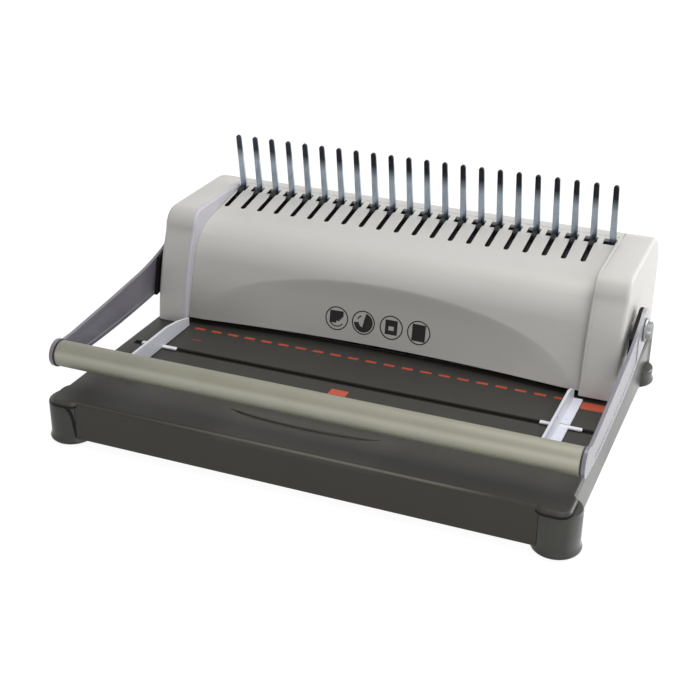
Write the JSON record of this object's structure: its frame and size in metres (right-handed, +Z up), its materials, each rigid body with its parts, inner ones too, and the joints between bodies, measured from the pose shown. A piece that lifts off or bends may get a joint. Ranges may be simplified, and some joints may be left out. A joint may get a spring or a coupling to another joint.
{
  "type": "plastic comb punch and binding machine",
  "caption": "Desktop plastic comb binding machine: dark base with paper deck and guides, light housing with a row of steel tines, and a full-width tubular lever.",
  "frame": {"origin": "On the table below the middle of the base.", "axes": "+X along the row of tines to the operator's right, +Y from the operator to the back, +Z up. Millimetres in the source, metres in the record."},
  "size_m": [0.3864, 0.2827, 0.1617],
  "materials": {
    "base_plastic": "dark grey moulded plastic with a fine grain",
    "foot_plastic": "dark grey moulded plastic, smoother than the deck",
    "pad_rubber": "black rubber",
    "housing_plastic": "light warm grey moulded plastic, satin",
    "dark_steel": "oiled dark steel sheet",
    "tool_steel": "ground tool steel",
    "bright_steel": "zinc plated steel, bluish",
    "handle_aluminium": "satin anodised tube, pale champagne",
    "arm_plastic": "lilac grey satin moulding",
    "guide_plastic": "whitish translucent plastic",
    "tray_plastic": "black plastic"
  },
  "bodies": {
    "machine": {"base_shell": "base_plastic", "base_floor": "dark_steel", "floor_screw_front_left": "bright_steel", "floor_screw_front_middle": "bright_steel", "floor_screw_front_right": "bright_steel", "floor_screw_rear_left": "bright_steel", "floor_screw_rear_middle": "bright_steel", "floor_screw_rear_right": "bright_steel", "foot_front_left": "foot_plastic", "foot_front_right": "foot_plastic", "foot_rear_left": "foot_plastic", "foot_rear_right": "foot_plastic", "pad_front_left": "pad_rubber", "pad_front_right": "pad_rubber", "pad_rear_left": "pad_rubber", "pad_rear_right": "pad_rubber", "front_cover": "housing_plastic", "rear_cover": "housing_plastic", "end_cap_left": "housing_plastic", "end_cap_right": "housing_plastic", "frame_left": "dark_steel", "frame_right": "dark_steel", "bush_left": "tray_plastic", "bush_right": "tray_plastic", "tine_comb": "bright_steel", "tine_rail": "dark_steel", "die_plate": "tool_steel", "punch_guide": "dark_steel", "paper_stop": "dark_steel"},
    "handle": {"handle_tube": "handle_aluminium", "handle_arm_left": "arm_plastic", "handle_arm_right": "arm_plastic", "handle_shaft": "bright_steel", "pivot_bolt_left": "bright_steel", "pivot_bolt_right": "bright_steel", "press_lever_left": "dark_steel", "press_lever_right": "dark_steel"},
    "punch_set": {"punch_carrier": "dark_steel", "punches": "tool_steel"},
    "opener": {"comb_opener": "bright_steel"},
    "guide_left": {"paper_guide_left": "guide_plastic", "guide_slider_left": "guide_plastic"},
    "guide_right": {"paper_guide_right": "guide_plastic", "guide_slider_right": "guide_plastic"},
    "tray": {"chip_tray": "tray_plastic", "chip_tray_panel": "base_plastic"}
  },
  "joints": [
    {"name": "handle_swing", "type": "hinge", "parent": "machine", "child": "handle", "pos_m": [0, 0.047, 0.075], "axis": [-1, 0, 0], "range_deg": [0, 110]},
    {"name": "punch_stroke", "type": "slide", "parent": "machine", "child": "punch_set", "axis": [0, 0, 1], "range_m": [0, 0.01]},
    {"name": "opener_stroke", "type": "slide", "parent": "machine", "child": "opener", "axis": [0, -0.9864, -0.1644], "range_m": [0, 0.022]},
    {"name": "guide_left_slide", "type": "slide", "parent": "machine", "child": "guide_left", "axis": [1, 0, 0], "range_m": [0, 0.06]},
    {"name": "guide_right_slide", "type": "slide", "parent": "machine", "child": "guide_right", "axis": [-1, 0, 0], "range_m": [0, 0.06]},
    {"name": "tray_slide", "type": "slide", "parent": "machine", "child": "tray", "axis": [0, 1, 0], "range_m": [0, 0.11]}
  ],
  "couplings": [
    {"joint": "punch_stroke", "follows": "handle_swing", "m_per_rad": 0.0052083},
    {"joint": "opener_stroke", "follows": "handle_swing", "m_per_rad": 0.011459}
  ]
}
